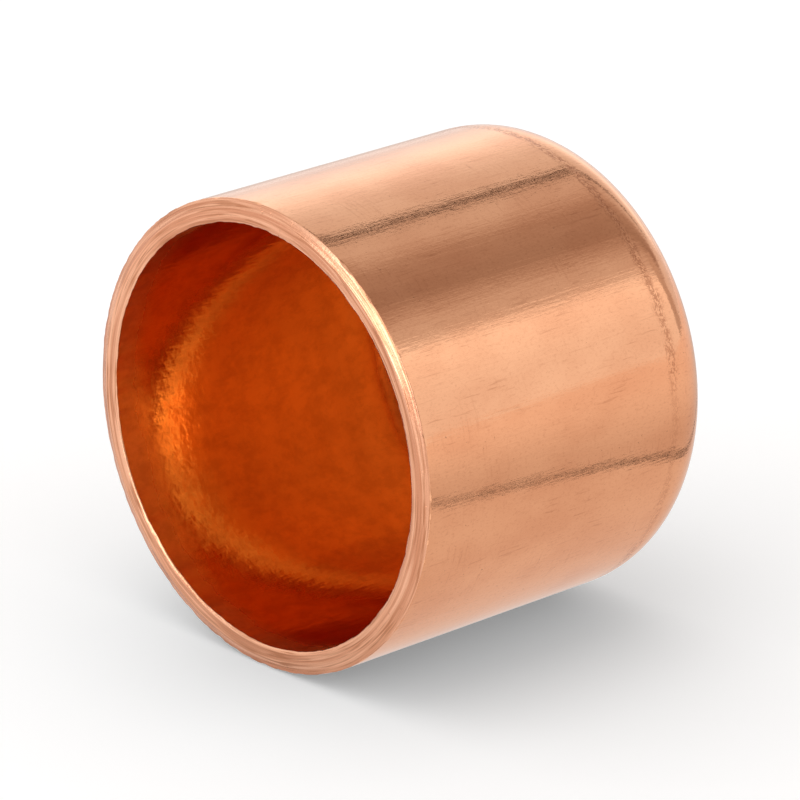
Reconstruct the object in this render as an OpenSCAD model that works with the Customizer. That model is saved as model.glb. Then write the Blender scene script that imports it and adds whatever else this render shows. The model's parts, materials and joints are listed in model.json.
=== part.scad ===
// Copper tube end cap, drawn from one blank.
//
// A straight cup socket slides over the end of a copper tube and is soldered there.
// The cap lies along +Y: its mouth faces -Y with the rim in the plane y = 0, and the
// closed end is at y = cap_length. The tube axis is the Y axis.
// All sizes are in millimetres.

/* [Socket] */
// Inside diameter of the socket, for tube of 15.88 outside diameter
socket_d = 15.96; // [15.93:0.01:16.03]
// Thickness of the drawn wall and of the closed end
wall = 0.86; // [0.7:0.02:1.1]

/* [Body] */
// Length over all, from the rim to the closed end
cap_length = 14.9; // [13.5:0.1:17]
// Outside radius of the corner between the wall and the closed end
corner_r = 2.4; // [1.6:0.1:3]

/* [Rim] */
// Width of the flat land between the rim's two edges
rim_land = 0.34; // [0.2:0.02:0.4]
// Width of the bevel round the outside of the rim
bevel_width = 0.38; // [0.1:0.02:0.4]
// How far the bevel falls back from the land where it meets the wall
bevel_drop = 0.14; // [0.06:0.02:0.16]
// How far the rim's rounded inner edge falls back from the land where it meets the socket
inner_drop = 0.06; // [0.02:0.01:0.06]

/* [Hidden] */
$fn = 240;

socket_r = socket_d / 2;
body_r = socket_r + wall;
inner_corner_r = corner_r - wall;
inner_length = cap_length - wall;
inner_edge = wall - rim_land - bevel_width;
overshoot = 1;

// Half section of a cup that is closed at y = length, with one round corner.
module cup_section(radius, length, round_r) {
    union() {
        square([radius, length - round_r]);
        square([radius - round_r, length]);
        translate([radius - round_r, length - round_r])
            circle(round_r);
    }
}

// What comes off outside the rim to leave a straight bevel there.
module rim_bevel() {
    polygon([
        [body_r - bevel_width, 0],
        [body_r, bevel_drop],
        [body_r + overshoot, bevel_drop],
        [body_r + overshoot, -overshoot],
        [body_r - bevel_width, -overshoot]
    ]);
}

// What comes off the rim's inner edge to leave an arc there. The arc is level where it
// meets the land, and drops by inner_drop where it meets the socket.
module rim_rounding() {
    arc_r = (inner_edge * inner_edge + inner_drop * inner_drop) / (2 * inner_drop);
    difference() {
        translate([socket_r - overshoot, -overshoot])
            square([overshoot + inner_edge, overshoot + inner_drop]);
        translate([socket_r + inner_edge, arc_r])
            circle(arc_r);
    }
}

// Half section of the wall, the closed end and the rim: x is the radius, y is along the tube.
module shell_section() {
    difference() {
        cup_section(body_r, cap_length, corner_r);
        cup_section(socket_r, inner_length, inner_corner_r);
        rim_bevel();
        rim_rounding();
    }
}

module cap_shell() {
    color("#D9966F")
        rotate([-90, 0, 0])
            rotate_extrude()
                shell_section();
}

cap_shell();
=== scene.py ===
"""Looks of a copper tube end cap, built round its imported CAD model.

The cap lies on its side along +Y, with its mouth at y = 0 and its closed end at +Y. One detailed
mesh stands for the CAD shell: it follows the same section, and its surface carries the marks of
drawing, sizing and facing. Lengths are in metres, and angles in radians unless a name says degrees.
"""

import json
import math

import bpy
import numpy as np
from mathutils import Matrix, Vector, noise


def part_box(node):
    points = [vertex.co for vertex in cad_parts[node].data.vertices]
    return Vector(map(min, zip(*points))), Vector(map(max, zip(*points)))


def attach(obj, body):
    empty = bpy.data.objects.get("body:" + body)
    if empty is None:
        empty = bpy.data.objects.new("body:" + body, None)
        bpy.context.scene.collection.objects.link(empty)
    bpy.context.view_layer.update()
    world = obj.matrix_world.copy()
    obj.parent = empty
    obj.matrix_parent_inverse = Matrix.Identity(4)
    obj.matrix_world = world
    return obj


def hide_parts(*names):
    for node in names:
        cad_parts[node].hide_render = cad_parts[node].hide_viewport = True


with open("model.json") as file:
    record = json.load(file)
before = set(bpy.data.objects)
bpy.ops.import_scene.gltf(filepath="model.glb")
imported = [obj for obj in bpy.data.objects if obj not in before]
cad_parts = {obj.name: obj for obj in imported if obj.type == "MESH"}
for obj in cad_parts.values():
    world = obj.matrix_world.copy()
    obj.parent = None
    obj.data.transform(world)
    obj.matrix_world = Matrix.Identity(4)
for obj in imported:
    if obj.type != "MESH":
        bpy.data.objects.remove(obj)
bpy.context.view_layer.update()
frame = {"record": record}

MM = 0.001

# ---------------------------------------------------------------- sizes, from the frame
low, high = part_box("cap_shell")
socket = next(m for m in frame["record"]["mounts"] if m["name"] == "socket")
LENGTH = high.y
SOCKET_R = socket["dims"]["r_mm"] * MM
INNER_DROP = socket["pos_m"][1]
BEVEL_DROP = 0.14 * MM
BEVEL_WIDTH = 0.38 * MM
WALL = high.x - SOCKET_R
# The wall is drawn a little inside the CAD box, so that no mark on it stands out of the box
BODY_R = high.z - 0.006 * MM
FLOOR_Z = low.z
CORNER_R = 2.4 * MM
RIM_LAND = 0.34 * MM
INNER_CORNER_R = CORNER_R - WALL
BOTTOM_Y = LENGTH - WALL
INNER_EDGE = WALL - RIM_LAND - BEVEL_WIDTH
INNER_ARC_R = (INNER_EDGE ** 2 + INNER_DROP ** 2) / (2 * INNER_DROP)

# The line where the sizing die stopped, just short of the corner
SIZING_Y = LENGTH - CORNER_R - 0.15 * MM
# Strip of short rows beside each edge of the rim, which keeps the shading clean there
LIP = 0.08 * MM
# Radius of the small fan that closes the middle of each end
FAN_R = 0.25 * MM
# Points round the shell
AROUND = 720

FLOOR_HALF = 0.6
CAMERA_AZIMUTH = math.radians(46.98)
CAMERA_ELEVATION = math.radians(20.19)
CAMERA_DISTANCE = 0.2216
CAMERA_AIM = (-0.00017, 0.00708, -0.00035)
CAMERA_LENS = 271.8

# Zones of the section, in the order that its rows run
END, CORNER, OUTSIDE, RIM, BORE, BOTTOM = range(6)


# ---------------------------------------------------------------- section of the shell
def straight(zone, start, end, count):
    """Rows of (zone, radius, y, normal radius, normal y) from start up to end, which is left out."""
    direction = np.subtract(end, start) / np.linalg.norm(np.subtract(end, start))
    rows = []
    for k in range(count):
        at = np.add(start, np.subtract(end, start) * (k / count))
        rows.append((zone, at[0], at[1], -direction[1], direction[0]))
    return rows


def arc(zone, centre, radius, first, last, count, side=1):
    """Rows round a centre from one angle up to another, which is left out. side is -1 in a hollow."""
    rows = []
    for k in range(count):
        a = first + (last - first) * k / count
        c, s = math.cos(a), math.sin(a)
        rows.append((zone, centre[0] + radius * c, centre[1] + radius * s, side * c, side * s))
    return rows


def section():
    """Rows from the middle of the closed end, over the wall and the rim, to the bottom inside."""
    quarter = math.pi / 2
    corner = (BODY_R - CORNER_R, LENGTH - CORNER_R)
    inner_corner = (SOCKET_R - INNER_CORNER_R, BOTTOM_Y - INNER_CORNER_R)
    bevel_start = (BODY_R - BEVEL_WIDTH, 0)
    inner_edge = (SOCKET_R + INNER_EDGE, INNER_ARC_R)
    inner_tilt = math.asin(INNER_EDGE / INNER_ARC_R)
    near_corner = SIZING_Y - 0.5 * MM
    rows = straight(END, (FAN_R, LENGTH), (corner[0], LENGTH), 12)
    rows += arc(CORNER, corner, CORNER_R, quarter, 0, 16)
    rows += straight(OUTSIDE, (BODY_R, corner[1]), (BODY_R, near_corner), 8)
    rows += straight(OUTSIDE, (BODY_R, near_corner), (BODY_R, BEVEL_DROP + LIP), 20)
    rows += straight(OUTSIDE, (BODY_R, BEVEL_DROP + LIP), (BODY_R, BEVEL_DROP), 4)
    rows += straight(RIM, (BODY_R, BEVEL_DROP), bevel_start, 14)
    rows += straight(RIM, bevel_start, (inner_edge[0], 0), 12)
    rows += arc(RIM, inner_edge, INNER_ARC_R, -quarter, -quarter - inner_tilt, 9)
    rows += straight(BORE, (SOCKET_R, INNER_DROP), (SOCKET_R, INNER_DROP + LIP), 2)
    rows += straight(BORE, (SOCKET_R, INNER_DROP + LIP), (SOCKET_R, inner_corner[1]), 19)
    rows += arc(BORE, inner_corner, INNER_CORNER_R, 0, quarter, 10, side=-1)
    rows += straight(BOTTOM, (inner_corner[0], BOTTOM_Y), (FAN_R, BOTTOM_Y), 11)
    return rows


# ---------------------------------------------------------------- marks in the surface
def smooth_noise(points, frequency, seed):
    """Noise from about -1 to 1 at each point, with frequency features per mm along X, Y and Z."""
    scaled = points / MM * np.array(frequency) + seed
    return np.array([noise.noise(Vector(p)) for p in scaled])


def bump_at(distance, width):
    """1 where the distance is 0, falling smoothly to nothing over about twice the width."""
    return np.exp(-((distance / width) ** 2))


def surface_height(zone, points, radius):
    """How far the real surface stands off the plain section at each point, along its normal."""
    y = points[:, 1]
    height = 0.002 * MM * smooth_noise(points, (0.35, 0.35, 0.35), 3.1)

    # Long marks that the draw ring leaves along the wall
    drawn = np.isin(zone, (OUTSIDE, CORNER, BORE))
    height += drawn * 0.0005 * MM * smooth_noise(points, (3.2, 0.14, 3.2), 7.7)

    # The sizing die ends in a low uneven ridge, past which the wall is a little thinner
    outside = np.isin(zone, (OUTSIDE, CORNER))
    wander = 0.10 * MM * smooth_noise(points, (0.5, 0.0, 0.5), 11.3)
    past = y - SIZING_Y - wander
    strength = 0.55 + 0.6 * smooth_noise(points, (1.6, 0.0, 1.6), 17.9)
    height += outside * 0.003 * MM * strength * bump_at(past, 0.16 * MM)

    # The faced rim: rings from the tool, and a little chatter
    rings = np.stack([radius, 0.02 * points[:, 0], 0.02 * points[:, 2]], axis=1)
    on_rim = zone == RIM
    height += on_rim * 0.006 * MM * smooth_noise(rings, (9.0, 12.0, 12.0), 23.5)

    # Inside, the wall and bottom keep the unevenness of the blank
    inside = np.isin(zone, (BORE, BOTTOM))
    height += inside * 0.004 * MM * smooth_noise(points, (0.9, 0.45, 0.9), 29.3)
    height += inside * 0.001 * MM * smooth_noise(points, (2.4, 0.8, 2.4), 31.7)

    # Faint ring that the punch leaves on the closed end
    punch = bump_at(radius - 0.56 * BODY_R, 0.25 * MM)
    height -= (zone == END) * 0.006 * MM * punch
    return height


def edge_nicks(zone, points, radius):
    """Small burrs along the mouth, as a change of radius: into the bore, and round the outer edge."""
    inner = bump_at(radius - SOCKET_R, 0.07 * MM) * np.isin(zone, (RIM, BORE))
    inner = inner * (points[:, 1] < 0.3 * MM)
    coarse = np.clip(smooth_noise(points, (1.1, 0.0, 1.1), 41.3) - 0.05, 0, None)
    fine = smooth_noise(points, (3.4, 0.0, 3.4), 43.1)
    outer = bump_at(radius - BODY_R, 0.05 * MM) * bump_at(points[:, 1] - BEVEL_DROP, 0.04 * MM)
    outer = outer * np.isin(zone, (RIM, OUTSIDE))
    scuffs = np.clip(smooth_noise(points, (2.2, 0.0, 2.2), 47.9) + 0.1, 0, None)
    scuffs += 0.5 * np.clip(smooth_noise(points, (6.0, 0.0, 6.0), 53.7), 0, None)
    return -inner * MM * (0.03 + 0.05 * coarse + 0.02 * fine) - outer * 0.05 * MM * scuffs


def shell_mesh():
    """The shell as one closed mesh: rings of AROUND points along the section, and two end points."""
    rows = np.array(section())
    angles = np.arange(AROUND) * 2 * math.pi / AROUND
    count = len(rows)
    zone = np.repeat(rows[:, 0], AROUND)
    radius = np.repeat(rows[:, 1], AROUND)
    y = np.repeat(rows[:, 2], AROUND)
    angle = np.tile(angles, count)
    points = np.stack([radius * np.cos(angle), y, radius * np.sin(angle)], axis=1)
    height = surface_height(zone, points, radius)
    out = radius + height * np.repeat(rows[:, 3], AROUND) + edge_nicks(zone, points, radius)
    along = np.clip(y + height * np.repeat(rows[:, 4], AROUND), low.y, high.y)
    points = np.stack([out * np.cos(angle), along, out * np.sin(angle)], axis=1)
    points = np.vstack([points, [0, along[0], 0], [0, along[-1], 0]])

    turn = np.arange(AROUND)
    after = (turn + 1) % AROUND
    faces = []
    for k in range(count - 1):
        a, b = k * AROUND, (k + 1) * AROUND
        faces += np.stack([a + turn, a + after, b + after, b + turn], axis=1).tolist()
    first, last, closing = count * AROUND, count * AROUND + 1, (count - 1) * AROUND
    faces += [(first, b, a) for a, b in zip(turn.tolist(), after.tolist())]
    faces += [(last, closing + a, closing + b) for a, b in zip(turn.tolist(), after.tolist())]
    zones = np.repeat(rows[:-1, 0], AROUND).astype(int).tolist() + [END] * AROUND + [BOTTOM] * AROUND

    mesh = bpy.data.meshes.new("cap_body")
    mesh.from_pydata(points.tolist(), [], faces)
    return mesh, zones


# ---------------------------------------------------------------- node helpers
class Nodes:
    """Short calls for building a node tree."""

    def __init__(self, tree):
        self.tree = tree
        self.tree.nodes.clear()

    def add(self, kind, inputs=(), **settings):
        node = self.tree.nodes.new(kind)
        for name, value in settings.items():
            setattr(node, name, value)
        for name, value in dict(inputs).items():
            self.feed(node.inputs[name], value)
        return node

    def feed(self, socket_in, value):
        """Links an output, or sets a plain value."""
        if isinstance(value, bpy.types.NodeSocket):
            self.tree.links.new(value, socket_in)
        else:
            socket_in.default_value = value

    def math(self, operation, a, b=0.0, c=0.0):
        node = self.add("ShaderNodeMath", operation=operation)
        for k, value in enumerate((a, b, c)):
            self.feed(node.inputs[k], value)
        return node.outputs[0]

    def total(self, *parts):
        """The sum of each value times its weight."""
        result = 0.0
        for value, weight in parts:
            result = self.math("MULTIPLY_ADD", value, weight, result)
        return result

    def ramp(self, value, start, end, low=0.0, high=1.0):
        """A smooth step of the value, from low at start to high at end."""
        node = self.add("ShaderNodeMapRange", interpolation_type="SMOOTHSTEP")
        for name, v in zip(("Value", "From Min", "From Max", "To Min", "To Max"),
                           (value, start, end, low, high)):
            self.feed(node.inputs[name], v)
        return node.outputs["Result"]

    def noise(self, place, frequency, detail=2.0, roughness=0.5):
        """Noise from 0 to 1, with frequency features per mm along X, Y and Z."""
        scaled = self.add("ShaderNodeVectorMath", operation="MULTIPLY")
        self.feed(scaled.inputs[0], place)
        scaled.inputs[1].default_value = [f / MM for f in frequency]
        node = self.add("ShaderNodeTexNoise", {"Vector": scaled.outputs[0], "Scale": 1.0,
                                               "Detail": detail, "Roughness": roughness})
        return node.outputs["Fac"]

    def blend(self, amount, first, second):
        """Colour that goes from first to second as the amount goes from 0 to 1."""
        node = self.add("ShaderNodeMix", data_type="RGBA")
        self.feed(node.inputs["Factor"], amount)
        self.feed(node.inputs["A"], first)
        self.feed(node.inputs["B"], second)
        return node.outputs["Result"]


# ---------------------------------------------------------------- copper
COPPER = (0.95, 0.48, 0.27, 1)
COPPER_DULL = (0.87, 0.415, 0.228, 1)
COPPER_BROWN = (0.50, 0.20, 0.10, 1)
COPPER_DARK = (0.20, 0.085, 0.04, 1)
# Rim copper, darker than the wall's copper: painted shade, standing in for dimmer light in what the
# flat rim reflects
RIM_COPPER_PAINTED_SHADE = (0.64, 0.275, 0.155, 1)
COPPER_CUT = (0.87, 0.455, 0.285, 1)
# Inside copper, darker and redder than the outside copper: painted shade of the hollow, on top of the
# light that bounces round inside
BORE_COPPER_PAINTED_SHADE = (0.835, 0.392, 0.125, 1)
BORE_COPPER_DULL_PAINTED_SHADE = (0.705, 0.32, 0.095, 1)


def copper_material(name):
    """A metal material, with its node helper, its shader and the place on the object in metres."""
    material = bpy.data.materials.new(name)
    material.use_nodes = True
    nodes = Nodes(material.node_tree)
    output = nodes.add("ShaderNodeOutputMaterial")
    shader = nodes.add("ShaderNodeBsdfPrincipled", {"Metallic": 1.0})
    nodes.feed(output.inputs["Surface"], shader.outputs["BSDF"])
    place = nodes.add("ShaderNodeTexCoord").outputs["Object"]
    return material, nodes, shader, place


def split_up(nodes, vector):
    """The X, Y and Z of a vector."""
    split = nodes.add("ShaderNodeSeparateXYZ", {"Vector": vector})
    return [split.outputs[k] for k in range(3)]


def axis_distance(nodes, x, z):
    """Distance from the Y axis."""
    squares = nodes.math("ADD", nodes.math("MULTIPLY", x, x), nodes.math("MULTIPLY", z, z))
    return nodes.math("SQRT", squares)


def bump(nodes, shader, height, depth):
    """Drives the shader's normal from a height of 0 to 1 that is worth depth metres."""
    node = nodes.add("ShaderNodeBump", {"Height": height, "Distance": depth, "Strength": 1.0})
    nodes.feed(shader.inputs["Normal"], node.outputs["Normal"])


def drawn_copper():
    """The outside: bright drawn copper with fine grain, draw lines, specks and the sizing line."""
    material, nodes, shader, place = copper_material("drawn_copper")
    y = split_up(nodes, place)[1]
    grain = nodes.noise(place, (8.0, 5.0, 8.0), 3.0, 0.65)
    fleck = nodes.noise(place, (11.0, 7.0, 11.0), 3.0, 0.7)
    lines = nodes.noise(place, (4.5, 0.14, 4.5), 4.0, 0.7)
    hoops = nodes.noise(place, (0.9, 7.0, 0.9), 2.0, 0.6)
    patches = nodes.ramp(nodes.noise(place, (0.35, 0.25, 0.35), 2.0), 0.42, 0.62)
    cloud = nodes.noise(place, (0.45, 0.25, 0.45), 3.0, 0.55)
    waves = nodes.noise(place, (0.5, 0.45, 0.5), 2.0, 0.5)

    # Dark specks, denser in patches
    specks = nodes.ramp(nodes.noise(place, (8.0, 6.0, 8.0), 2.0, 0.7), 0.69, 0.76)
    specks = nodes.math("MULTIPLY", specks, patches)

    # Brown scratches: short dashes along the wall, and fainter ones round it
    dashes = nodes.ramp(nodes.noise(place, (9.0, 0.7, 9.0), 2.0, 0.6), 0.60, 0.72)
    scratches = nodes.math("MULTIPLY", dashes, nodes.ramp(cloud, 0.42, 0.62, 0.05, 0.38))
    crossing = nodes.math("MULTIPLY", nodes.ramp(hoops, 0.56, 0.8, 0.0, 0.3), patches)

    # The sizing line: thin uneven brown threads where the straight wall meets the corner
    ragged = nodes.noise(place, (1.2, 1.2, 1.2), 4.0, 0.7)
    offset = nodes.math("MULTIPLY_ADD", ragged, 0.8 * MM, -0.4 * MM)
    away = nodes.math("ABSOLUTE", nodes.math("SUBTRACT", nodes.math("ADD", y, offset), SIZING_Y))
    threads = nodes.noise(place, (3.2, 5.0, 3.2), 4.0, 0.7)
    threads = nodes.ramp(nodes.math("ABSOLUTE", nodes.math("SUBTRACT", threads, 0.5)), 0.09, 0.01)
    worn = nodes.ramp(nodes.noise(place, (0.13, 0.13, 0.13), 1.0), 0.36, 0.50, 0.35, 1.0)
    band = nodes.math("MULTIPLY", nodes.ramp(away, 0.32 * MM, 0.04 * MM), threads)
    band = nodes.math("MULTIPLY", band, worn)

    colour = nodes.blend(nodes.ramp(cloud, 0.35, 0.7), COPPER, COPPER_DULL)
    colour = nodes.blend(nodes.ramp(fleck, 0.48, 0.75, 0.0, 0.28), colour, COPPER_BROWN)
    colour = nodes.blend(nodes.math("MAXIMUM", scratches, crossing), colour, COPPER_BROWN)
    colour = nodes.blend(nodes.math("MULTIPLY", specks, 0.7), colour, COPPER_DARK)
    colour = nodes.blend(nodes.math("MULTIPLY", band, 0.8), colour, COPPER_BROWN)
    nodes.feed(shader.inputs["Base Color"], colour)

    plain = nodes.ramp(cloud, 0.3, 0.7, 0.04, 0.08)
    nodes.feed(shader.inputs["Roughness"], nodes.total((plain, 1.0), (band, 0.12)))

    hoop_depth = nodes.math("ADD", patches, 0.3)
    height = nodes.total((grain, 1.5), (lines, 2.4), (hoops, hoop_depth), (waves, 3.5),
                         (scratches, -0.8), (specks, -0.6), (band, -1.2))
    bump(nodes, shader, height, 0.0024 * MM)
    return material


def faced_copper():
    """The rim: freshly cut copper with rings from the tool, and a few nicks across it."""
    material, nodes, shader, place = copper_material("faced_copper")
    x, y, z = split_up(nodes, place)
    radius = axis_distance(nodes, x, z)
    ring_place = nodes.add("ShaderNodeCombineXYZ", {"X": radius, "Y": nodes.math("MULTIPLY", x, 0.02),
                                                    "Z": nodes.math("MULTIPLY", z, 0.02)}).outputs[0]
    rings = nodes.noise(ring_place, (9.0, 9.0, 9.0), 2.0, 0.6)
    cuts = nodes.noise(ring_place, (15.0, 26.0, 26.0), 1.0, 0.5)
    grain = nodes.noise(place, (9.0, 9.0, 9.0), 3.0, 0.6)
    patches = nodes.ramp(nodes.noise(place, (0.6, 0.6, 0.6), 2.0), 0.35, 0.6, 0.45, 1.0)
    around = nodes.math("MULTIPLY", nodes.math("ARCTAN2", z, x), 0.009)
    nick_place = nodes.add("ShaderNodeCombineXYZ", {"X": around, "Y": radius}).outputs[0]
    nicks = nodes.ramp(nodes.noise(nick_place, (4.0, 2.6, 1.0), 3.0, 0.7), 0.62, 0.74)
    grooves = nodes.math("MULTIPLY", nodes.ramp(cuts, 0.50, 0.36), patches)
    # The rim's darker colour is painted shade; the rings mix in the brighter cut copper
    colour = nodes.blend(nodes.ramp(rings, 0.35, 0.65), RIM_COPPER_PAINTED_SHADE, COPPER_CUT)
    colour = nodes.blend(nodes.math("MULTIPLY", grooves, 0.95), colour, COPPER_BROWN)
    colour = nodes.blend(nodes.math("MULTIPLY", nicks, 0.5), colour, COPPER_BROWN)
    nodes.feed(shader.inputs["Base Color"], colour)
    nodes.feed(shader.inputs["Roughness"], nodes.ramp(grain, 0.3, 0.7, 0.16, 0.26))
    height = nodes.total((rings, 1.0), (cuts, 0.9), (grain, 0.4), (nicks, -0.5))
    bump(nodes, shader, height, 0.012 * MM)
    return material


def bore_copper():
    """The inside: smooth wall with soft blotches and small dents, and a duller round corner. Its
    copper is darker and redder than the outside, as painted shade of the hollow.
    """
    material, nodes, shader, place = copper_material("bore_copper")
    y = split_up(nodes, place)[1]
    blotches = nodes.noise(place, (0.7, 0.5, 0.7), 4.0, 0.6)
    streaks = nodes.noise(place, (2.2, 0.3, 2.2), 3.0, 0.6)
    dents = nodes.noise(place, (3.0, 2.6, 3.0), 2.0, 0.55)
    mottle = nodes.noise(place, (1.6, 1.1, 1.6), 4.0, 0.7)
    deep = nodes.ramp(y, BOTTOM_Y - INNER_CORNER_R - 0.3 * MM, BOTTOM_Y - INNER_CORNER_R + 0.5 * MM)
    # Both inside colours carry painted shade of the hollow; the mottle between them is the copper's
    # own
    colour = nodes.blend(nodes.ramp(mottle, 0.38, 0.68), BORE_COPPER_PAINTED_SHADE, BORE_COPPER_DULL_PAINTED_SHADE)
    nodes.feed(shader.inputs["Base Color"], colour)
    near = nodes.ramp(y, 2.0 * MM, 0.6 * MM)
    plain = nodes.ramp(blotches, 0.3, 0.7, 0.08, 0.14)
    nodes.feed(shader.inputs["Roughness"], nodes.total((plain, 1.0), (deep, 0.22), (near, 0.20)))
    height = nodes.total((streaks, 2.6), (dents, 1.9))
    bump(nodes, shader, height, 0.003 * MM)
    return material


def make_shell():
    """The cap itself."""
    mesh, zones = shell_mesh()
    for material in (drawn_copper(), faced_copper(), bore_copper()):
        mesh.materials.append(material)
    slot_of = {END: 0, CORNER: 0, OUTSIDE: 0, RIM: 1, BORE: 2, BOTTOM: 2}
    mesh.polygons.foreach_set("material_index", [slot_of[z] for z in zones])
    mesh.polygons.foreach_set("use_smooth", [True] * len(mesh.polygons))
    mesh.validate()
    mesh.update()
    piece = bpy.data.objects.new("cap_body", mesh)
    bpy.context.scene.collection.objects.link(piece)
    return piece


# ---------------------------------------------------------------- studio
# Softboxes and dark gaps that run along the cap, as bands round its axis: middle and half width in
# degrees, where 0 is +X and 90 is straight up, then how softly the band ends in degrees, and what it
# adds to the brightness.
BASE_LIGHT = 0.34
SIDE_BANDS = (
    (18, 27, 5, 0.64),
    (36, 8, 12, 0.14),
    (53, 9, 12, 0.36),
    (-38, 30, 8, 0.22),
    (81, 7, 9, 0.10),
    (102, 11, 9, 0.34),
    (111.5, 1.6, 0.3, -0.85),
    (117, 3, 4, -0.10),
    (149.5, 35.5, 2, 0.46),
    (158, 14, 20, 0.56),
    (204, 20, 4, -0.30),
)
# What stands in front of the mouth: azimuth and elevation of its middle, half width and half height,
# and how softly it ends, all in degrees, then what it adds to the brightness. Azimuth 0 is straight
# in front and 90 is +X.
FRONT_LIGHT = 0.95
FRONT_PANELS = (
    (-42, 10, 22, 30, 12, 0.12),
    (42, 5, 24, 28, 12, -0.35),
)
PANEL_LIGHT = 0.84
ROOM_TINT = (1.0, 0.80, 0.70, 1)
SHEET_TINT = (1.0, 0.90, 0.84, 1)
WHITE = (1.0, 1.0, 1.0, 1)


def studio_world():
    """Light from all round: softboxes beside the cap and in front of it, and a pale background."""
    world = bpy.data.worlds.new("studio")
    bpy.context.scene.world = world
    world.use_nodes = True
    nodes = Nodes(world.node_tree)
    direction = nodes.add("ShaderNodeTexCoord").outputs["Generated"]
    x, y, z = split_up(nodes, direction)

    turn = nodes.math("DEGREES", nodes.math("ARCTAN2", z, x))
    beside = BASE_LIGHT
    for middle, half, soft, level in SIDE_BANDS:
        away = nodes.math("WRAP", nodes.math("SUBTRACT", turn, middle), 180.0, -180.0)
        lit = nodes.ramp(nodes.math("ABSOLUTE", away), half + soft, half - soft, 0.0, level)
        beside = nodes.math("ADD", beside, lit)
    # The bands would all meet in a point behind the closed end, so a plain panel hides it
    fade = nodes.ramp(y, 0.955, 0.985)
    beside = nodes.add("ShaderNodeMix", {"Factor": fade, "A": nodes.math("MAXIMUM", beside, 0.05),
                                         "B": PANEL_LIGHT}, data_type="FLOAT")

    azimuth = nodes.math("DEGREES", nodes.math("ARCTAN2", x, nodes.math("MULTIPLY", y, -1.0)))
    elevation = nodes.math("DEGREES", nodes.math("ARCSINE", z))
    front = FRONT_LIGHT
    for middle, middle_up, half, half_up, soft, level in FRONT_PANELS:
        across = nodes.math("ABSOLUTE", nodes.math("SUBTRACT", azimuth, middle))
        up = nodes.math("ABSOLUTE", nodes.math("SUBTRACT", elevation, middle_up))
        lit = nodes.math("MULTIPLY", nodes.ramp(across, half + soft, half - soft),
                         nodes.ramp(up, half_up + soft, half_up - soft, 0.0, level))
        front = nodes.math("ADD", front, lit)

    # The bands give way to the light in front of the mouth just past the plane of the rim
    mixed = nodes.add("ShaderNodeMix", {"Factor": nodes.ramp(y, -0.05, -0.4), "A": beside.outputs[0],
                                        "B": front}, data_type="FLOAT").outputs[0]
    # Dim parts of the room are warmer than bright ones
    tint = nodes.blend(nodes.ramp(mixed, 0.3, 0.85), ROOM_TINT, WHITE)
    background = nodes.add("ShaderNodeBackground", {"Color": tint, "Strength": mixed})
    seen = nodes.add("ShaderNodeBackground", {"Color": WHITE, "Strength": 0.96})
    pick = nodes.add("ShaderNodeMixShader")
    nodes.feed(pick.inputs[0], nodes.add("ShaderNodeLightPath").outputs["Is Camera Ray"])
    nodes.feed(pick.inputs[1], background.outputs[0])
    nodes.feed(pick.inputs[2], seen.outputs[0])
    output = nodes.add("ShaderNodeOutputWorld")
    nodes.feed(output.inputs["Surface"], pick.outputs[0])


def area_light(name, azimuth_degrees, height, distance, size, radiance):
    """A square softbox that faces the cap. Azimuth 0 is in front of the mouth and 90 is at +X."""
    data = bpy.data.lights.new(name, "AREA")
    data.shape = "SQUARE"
    data.size = size
    data.energy = radiance * math.pi * size ** 2
    light = bpy.data.objects.new(name, data)
    a = math.radians(azimuth_degrees)
    light.location = (distance * math.sin(a), -distance * math.cos(a), height)
    towards = Vector((0, LENGTH / 2, 0)) - light.location
    light.rotation_euler = towards.to_track_quat("-Z", "Y").to_euler()
    light.visible_camera = False
    bpy.context.scene.collection.objects.link(light)
    return light


def make_floor():
    """A large plain pale floor under the cap."""
    mesh = bpy.data.meshes.new("floor")
    corners = [(x * FLOOR_HALF, y * FLOOR_HALF, FLOOR_Z)
               for x, y in ((-1, -1), (1, -1), (1, 1), (-1, 1))]
    mesh.from_pydata(corners, [], [(0, 1, 2, 3)])
    floor = bpy.data.objects.new("floor", mesh)
    bpy.context.scene.collection.objects.link(floor)
    material = bpy.data.materials.new("pale_floor")
    material.use_nodes = True
    shader = material.node_tree.nodes["Principled BSDF"]
    shader.inputs["Base Color"].default_value = (0.86, 0.86, 0.86, 1)
    shader.inputs["Roughness"].default_value = 0.9
    shader.inputs["Specular IOR Level"].default_value = 0.0
    shader.inputs["Emission Color"].default_value = (1, 1, 1, 1)
    shader.inputs["Emission Strength"].default_value = 0.25
    mesh.materials.append(material)
    return floor


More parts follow.
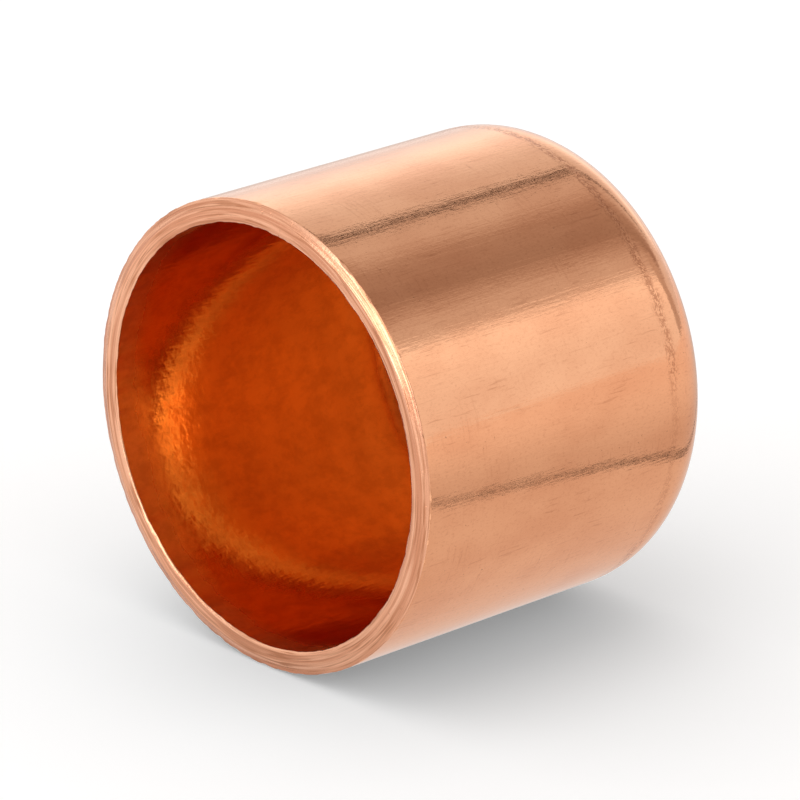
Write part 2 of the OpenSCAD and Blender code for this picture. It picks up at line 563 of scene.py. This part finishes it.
def glow_sheet(name, corners, levels, top):
    """A glowing sheet that is only seen in the copper.

    The levels are its brightness at the floor and at the height of top. A thin band of painted shade,
    where the glow is dimmed, runs just above the floor where it stands.
    """
    mesh = bpy.data.meshes.new(name)
    mesh.from_pydata([list(c) for c in corners], [], [(0, 1, 2, 3)])
    sheet = bpy.data.objects.new(name, mesh)
    bpy.context.scene.collection.objects.link(sheet)
    material = bpy.data.materials.new(name + "_light")
    material.use_nodes = True
    nodes = Nodes(material.node_tree)
    place = nodes.add("ShaderNodeTexCoord").outputs["Object"]
    height = split_up(nodes, place)[2]
    light = nodes.ramp(height, FLOOR_Z + 1.8 * MM, top, *levels)
    # Painted shade: the glow is dimmed in a thin band just above the floor, like the shade under a
    # standing card
    painted_shade_band = nodes.math("MULTIPLY", nodes.ramp(height, FLOOR_Z + 0.8 * MM, FLOOR_Z + 0.5 * MM),
                     nodes.ramp(height, FLOOR_Z + 0.05 * MM, FLOOR_Z + 0.1 * MM))
    light = nodes.math("MULTIPLY", light, nodes.math("MULTIPLY_ADD", painted_shade_band, -0.8, 1.0))
    glow = nodes.add("ShaderNodeEmission", {"Color": SHEET_TINT, "Strength": light})
    output = nodes.add("ShaderNodeOutputMaterial")
    nodes.feed(output.inputs["Surface"], glow.outputs[0])
    mesh.materials.append(material)
    for ray in ("visible_camera", "visible_diffuse", "visible_shadow"):
        setattr(sheet, ray, False)
    return sheet


def standing_sheet(name, azimuth_degrees, distance, half, top, levels):
    """A sheet that stands on the floor. Azimuth 0 is in front of the mouth and 90 is at +X."""
    a = math.radians(azimuth_degrees)
    side = Vector((math.sin(a), -math.cos(a), 0))
    along = Vector((-side.y, side.x, 0))
    middle = Vector((0, LENGTH / 2, 0)) + side * distance
    corners = [middle + along * across + Vector((0, 0, up))
               for across, up in ((-half, FLOOR_Z), (half, FLOOR_Z), (half, top), (-half, top))]
    return glow_sheet(name, corners, levels, top)


def lying_sheet(name, half, length, level):
    """A sheet that lies on the floor beside and behind the cap."""
    height = FLOOR_Z + 0.02 * MM
    corners = [(x, y, height) for x, y in ((-half, 0), (half, 0), (half, length), (-half, length))]
    return glow_sheet(name, corners, (level, level), 0)


def make_camera():
    """The camera, at the photographed angle."""
    level = math.cos(CAMERA_ELEVATION)
    back = Vector((math.sin(CAMERA_AZIMUTH) * level, -math.cos(CAMERA_AZIMUTH) * level,
                   math.sin(CAMERA_ELEVATION)))
    data = bpy.data.cameras.new("camera")
    data.sensor_width = 36
    data.lens = CAMERA_LENS
    data.clip_start = 0.01
    camera = bpy.data.objects.new("camera", data)
    camera.location = Vector(CAMERA_AIM) + back * CAMERA_DISTANCE
    camera.rotation_euler = (-back).to_track_quat("-Z", "Y").to_euler()
    bpy.context.scene.collection.objects.link(camera)
    bpy.context.scene.camera = camera


# ---------------------------------------------------------------- the scene
scene = bpy.context.scene
scene.view_settings.view_transform = "Standard"
scene.cycles.max_bounces = 24
scene.cycles.glossy_bounces = 24
scene.cycles.caustics_reflective = False

shell = make_shell()
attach(shell, "root")
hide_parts("cap_shell")

make_floor()
standing_sheet("side_sheet", 137, 20.5 * MM, 45 * MM, 3 * MM, (0.70, 0.96))
standing_sheet("end_sheet", 151, 25 * MM, 2.0 * MM, 14 * MM, (0.54, 0.62))
lying_sheet("floor_sheet", 120 * MM, 140 * MM, 0.77)
studio_world()
area_light("front_softbox", -7, 0.015, 0.45, 0.30, 2.5)
overhead = area_light("overhead_softbox", 0, 0.6, 0.001, 0.5, 0.7)
overhead.visible_glossy = False
make_camera()
